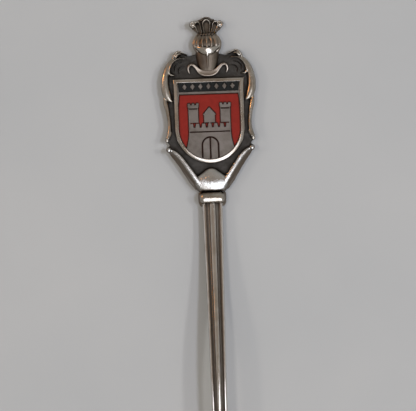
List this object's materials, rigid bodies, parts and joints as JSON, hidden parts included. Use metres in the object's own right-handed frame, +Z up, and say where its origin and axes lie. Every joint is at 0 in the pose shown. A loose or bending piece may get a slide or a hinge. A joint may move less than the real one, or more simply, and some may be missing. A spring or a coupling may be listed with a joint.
{
  "type": "souvenir spoon",
  "caption": "Silver-plated souvenir teaspoon: oval bowl, fluted stem and a cast heraldic finial with a helmet, plume, scrolls and an enamelled castle shield.",
  "frame": {"origin": "below the middle of the spoon, on the surface it lies on", "axes": "+Y from the bowl to the finial, +Z up out of the face of the finial and the open side of the bowl, +X to the right with the finial at the top"},
  "size_m": [0.0246, 0.118, 0.0066],
  "materials": {
    "silver_plate": "gloss",
    "badge_silver": "satin",
    "blackened_silver": "satin",
    "red_enamel": "gloss",
    "blue_black_enamel": "gloss",
    "maroon_enamel": "gloss"
  },
  "bodies": {
    "root": {"back_plate": "blackened_silver", "scroll_frame_left": "silver_plate", "scroll_frame_right": "silver_plate", "helmet": "silver_plate", "plume": "silver_plate", "mantling_ribbon": "silver_plate", "calyx": "silver_plate", "collar": "silver_plate", "badge_shield": "badge_silver", "enamel_name_panel": "blue_black_enamel", "enamel_red_field": "red_enamel", "enamel_gate": "maroon_enamel", "enamel_wall_line": "maroon_enamel", "enamel_tower_line_left": "maroon_enamel", "enamel_tower_line_right": "maroon_enamel", "enamel_crenel_1": "red_enamel", "enamel_crenel_2": "red_enamel", "enamel_crenel_3": "red_enamel", "enamel_crenel_4": "red_enamel", "stem": "silver_plate", "bowl": "silver_plate"}
  },
  "joints": []
}
